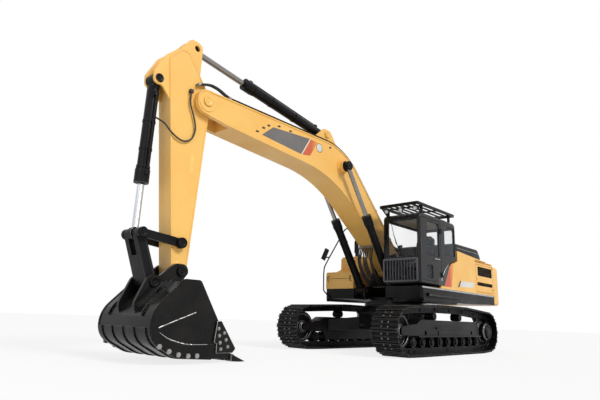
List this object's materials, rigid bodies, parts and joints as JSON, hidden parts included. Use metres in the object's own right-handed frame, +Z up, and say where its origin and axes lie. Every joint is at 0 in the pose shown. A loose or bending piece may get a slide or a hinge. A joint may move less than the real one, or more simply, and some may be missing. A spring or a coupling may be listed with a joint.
{
  "type": "crawler excavator",
  "caption": "Crawler excavator with slewing house, open-grille cab guard, two-piece digging front, bucket linkage and hydraulic cylinders.",
  "frame": {"origin": "on the ground, under the slewing axis, midway between the tracks", "axes": "+Z up, -Y the way the machine faces, +X the operator's left, where the cab is"},
  "size_m": [3.2076, 10.6939, 5.2652],
  "materials": {
    "yellow_paint": "semi-gloss, dusty",
    "black_paint": "satin, dusty",
    "cab_grey": "satin",
    "worn_steel": "matt, worn",
    "track_steel": "matt, dry earth in the joints",
    "chrome_rod": "polished",
    "pin_steel": "machined",
    "glass": "clear, tinted",
    "seat_fabric": "matt",
    "engine_grey": "matt",
    "rubber": "matt, dusty"
  },
  "bodies": {
    "undercarriage": {"car_body": "black_paint", "slewing_ring": "black_paint", "track_left": "track_steel", "track_right": "track_steel", "track_frame_left": "black_paint", "track_frame_right": "black_paint", "idler_left": "track_steel", "idler_right": "track_steel", "sprocket_left": "track_steel", "sprocket_right": "track_steel", "rollers_left": "track_steel", "rollers_right": "track_steel"},
    "house": {"revolving_frame": "black_paint", "house_pins": "pin_steel", "counterweight": "yellow_paint", "cab_shell": "cab_grey", "cab_glass": "glass", "cab_guard": "black_paint", "front_grille": "black_paint", "seat": "seat_fabric", "engine_house": "yellow_paint", "engine": "engine_grey", "tanks": "yellow_paint", "tool_box": "yellow_paint", "exhaust": "black_paint", "handrails": "black_paint", "mirrors": "black_paint", "air_intake": "black_paint"},
    "cab_door": {"cab_door": "cab_grey", "door_glass": "glass"},
    "hood": {"hood": "black_paint"},
    "side_door_left": {"side_door_left": "yellow_paint"},
    "side_door_right": {"side_door_right": "yellow_paint"},
    "tool_box_lid": {"tool_box_lid": "yellow_paint"},
    "boom": {"boom": "yellow_paint", "boom_pins": "pin_steel", "boom_pipes": "pin_steel"},
    "arm": {"arm": "yellow_paint", "arm_pins": "pin_steel", "arm_hose": "rubber"},
    "bucket": {"bucket_shell": "black_paint", "bucket_teeth": "worn_steel", "side_cutters": "worn_steel", "bucket_pin": "pin_steel"},
    "rockers": {"rockers": "black_paint"},
    "power_link": {"power_link": "black_paint"},
    "boom_left_barrel": {"boom_left_barrel": "black_paint"},
    "boom_left_rod": {"boom_left_rod": "chrome_rod"},
    "boom_right_barrel": {"boom_right_barrel": "black_paint"},
    "boom_right_rod": {"boom_right_rod": "chrome_rod"},
    "arm_barrel": {"arm_barrel": "black_paint"},
    "arm_rod": {"arm_rod": "chrome_rod"},
    "bucket_barrel": {"bucket_barrel": "black_paint"},
    "bucket_rod": {"bucket_rod": "chrome_rod"}
  },
  "joints": [
    {"name": "slew", "type": "hinge", "parent": "undercarriage", "child": "house", "pos_m": [0, 0, 1.15], "axis": [0, 0, 1], "continuous": true},
    {"name": "cab_door_hinge", "type": "hinge", "parent": "house", "child": "cab_door", "pos_m": [1.512, -0.375, 2.25], "axis": [0, 0, 1], "range_deg": [0, 165]},
    {"name": "hood_hinge", "type": "hinge", "parent": "house", "child": "hood", "pos_m": [0.175, 0.988, 2.32], "axis": [1, 0, 0], "range_deg": [0, 65]},
    {"name": "side_door_left_hinge", "type": "hinge", "parent": "house", "child": "side_door_left", "pos_m": [1.508, 2.616, 1.845], "axis": [0, 0, 1], "range_deg": [0, 120]},
    {"name": "side_door_right_hinge", "type": "hinge", "parent": "house", "child": "side_door_right", "pos_m": [-1.508, 2.616, 1.845], "axis": [0, 0, -1], "range_deg": [0, 120]},
    {"name": "tool_box_lid_hinge", "type": "hinge", "parent": "house", "child": "tool_box_lid", "pos_m": [-1.05, -0.494, 1.874], "axis": [-1, 0, 0], "range_deg": [0, 80]},
    {"name": "boom_raise", "type": "hinge", "parent": "house", "child": "boom", "pos_m": [0, -0.15, 1.95], "axis": [-1, 0, 0], "range_deg": [-56, 39]},
    {"name": "arm_curl", "type": "hinge", "parent": "boom", "child": "arm", "pos_m": [0, -6.28, 4.18], "axis": [1, 0, 0], "range_deg": [-72, 42]},
    {"name": "bucket_curl", "type": "hinge", "parent": "arm", "child": "bucket", "pos_m": [0, -6.48, 1.31], "axis": [1, 0, 0], "range_deg": [-58, 97]},
    {"name": "rocker_swing", "type": "hinge", "parent": "arm", "child": "rockers", "pos_m": [0, -6.52, 1.745], "axis": [1, 0, 0], "range_deg": [-43.3, 72.2]},
    {"name": "power_link_swing", "type": "hinge", "parent": "bucket", "child": "power_link", "pos_m": [0, -6.93, 1.12], "axis": [1, 0, 0], "range_deg": [-55.5, 33.3]},
    {"name": "boom_left_barrel_swing", "type": "hinge", "parent": "house", "child": "boom_left_barrel", "pos_m": [0.44, -0.745, 1.4], "axis": [-1, 0, 0], "range_deg": [-56.6, 39.5]},
    {"name": "boom_left_rod_slide", "type": "slide", "parent": "boom_left_barrel", "child": "boom_left_rod", "axis": [0, -0.5772, 0.8166], "range_m": [-0.709, 0.495]},
    {"name": "boom_right_barrel_swing", "type": "hinge", "parent": "house", "child": "boom_right_barrel", "pos_m": [-0.44, -0.745, 1.4], "axis": [-1, 0, 0], "range_deg": [-56.6, 39.5]},
    {"name": "boom_right_rod_slide", "type": "slide", "parent": "boom_right_barrel", "child": "boom_right_rod", "axis": [0, -0.5772, 0.8166], "range_m": [-0.709, 0.495]},
    {"name": "arm_barrel_swing", "type": "hinge", "parent": "boom", "child": "arm_barrel", "pos_m": [0, -2.95, 4.65], "axis": [1, 0, 0], "range_deg": [-1.8, 1.2]},
    {"name": "arm_rod_slide", "type": "slide", "parent": "arm_barrel", "child": "arm_rod", "axis": [0, -0.9904, 0.1379], "range_m": [-1.068, 0.625]},
    {"name": "bucket_barrel_swing", "type": "hinge", "parent": "arm", "child": "bucket_barrel", "pos_m": [0, -7.15, 4.3], "axis": [1, 0, 0], "range_deg": [-0.7, 0.5]},
    {"name": "bucket_rod_slide", "type": "slide", "parent": "bucket_barrel", "child": "bucket_rod", "axis": [0, -0.0181, -0.9998], "range_m": [-0.447, 0.744]}
  ],
  "couplings": [
    {"joint": "rocker_swing", "follows": "bucket_curl", "ratio": 0.7403},
    {"joint": "power_link_swing", "follows": "bucket_curl", "ratio": -0.5681},
    {"joint": "boom_left_barrel_swing", "follows": "boom_raise", "ratio": 1.0043},
    {"joint": "boom_left_rod_slide", "follows": "boom_raise", "m_per_rad": 0.7213},
    {"joint": "boom_right_barrel_swing", "follows": "boom_raise", "ratio": 1.0043},
    {"joint": "boom_right_rod_slide", "follows": "boom_raise", "m_per_rad": 0.7213},
    {"joint": "arm_barrel_swing", "follows": "arm_curl", "ratio": 0.0202},
    {"joint": "arm_rod_slide", "follows": "arm_curl", "m_per_rad": 0.8461},
    {"joint": "bucket_barrel_swing", "follows": "bucket_curl", "ratio": -0.0033},
    {"joint": "bucket_rod_slide", "follows": "bucket_curl", "m_per_rad": 0.4368}
  ]
}
